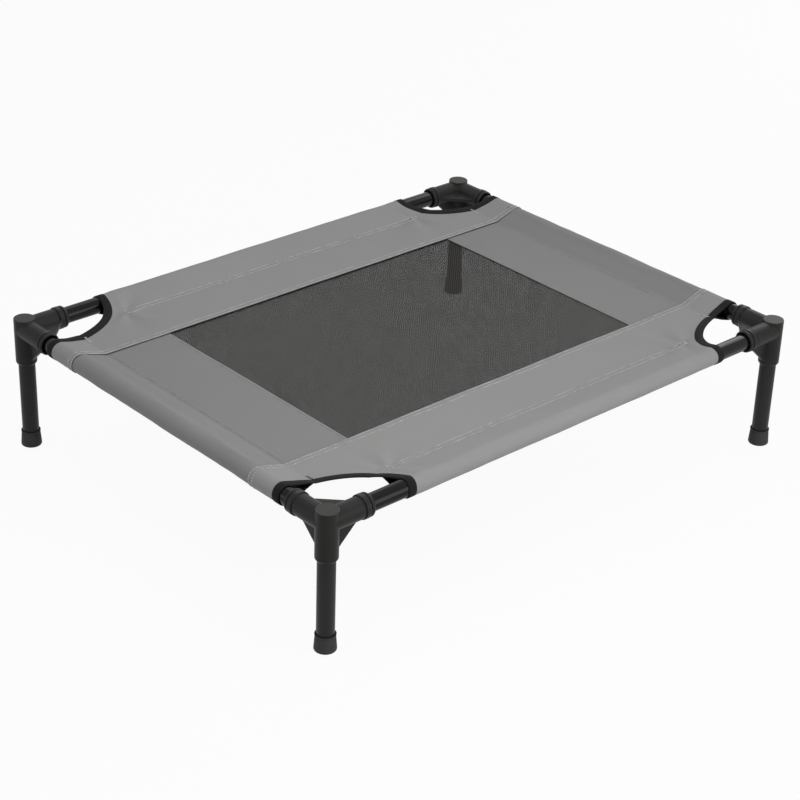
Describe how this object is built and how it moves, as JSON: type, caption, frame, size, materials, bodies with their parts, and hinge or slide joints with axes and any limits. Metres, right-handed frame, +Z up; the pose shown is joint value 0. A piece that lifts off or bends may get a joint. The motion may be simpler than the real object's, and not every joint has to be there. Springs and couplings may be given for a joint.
{
  "type": "raised dog bed",
  "caption": "Raised dog bed: grey fabric cover with a dark mesh centre stretched on a black tube frame with moulded corners and short legs.",
  "frame": {"origin": "middle of the bed's footprint, on the floor plane that the foot caps stand on", "axes": "+X along the long rails, towards the picture's right corner; +Y along the short rails, away from the picture's nearest corner; +Z up"},
  "size_m": [0.7644, 0.6124, 0.178],
  "materials": {
    "moulding": "satin black moulded plastic",
    "leg_steel": "satin black paint",
    "rail_steel": "glossy black paint",
    "foot_rubber": "matt black",
    "cover_fabric": "grey coated plain weave",
    "mesh_fabric": "charcoal open woven mesh",
    "binding_tape": "black woven tape"
  },
  "bodies": {
    "root": {"corner_connector_front_left": "moulding", "corner_connector_front_right": "moulding", "corner_connector_back_left": "moulding", "corner_connector_back_right": "moulding", "leg_front_left": "leg_steel", "leg_front_right": "leg_steel", "leg_back_left": "leg_steel", "leg_back_right": "leg_steel", "foot_cap_front_left": "foot_rubber", "foot_cap_front_right": "foot_rubber", "foot_cap_back_left": "foot_rubber", "foot_cap_back_right": "foot_rubber", "long_rail_front": "rail_steel", "long_rail_back": "rail_steel", "short_rail_left": "rail_steel", "short_rail_right": "rail_steel", "side_panel_front": "cover_fabric", "side_panel_back": "cover_fabric", "end_panel_left": "cover_fabric", "end_panel_right": "cover_fabric", "mesh_panel": "mesh_fabric", "corner_binding_front_left": "binding_tape", "corner_binding_front_right": "binding_tape", "corner_binding_back_left": "binding_tape", "corner_binding_back_right": "binding_tape"}
  },
  "joints": []
}
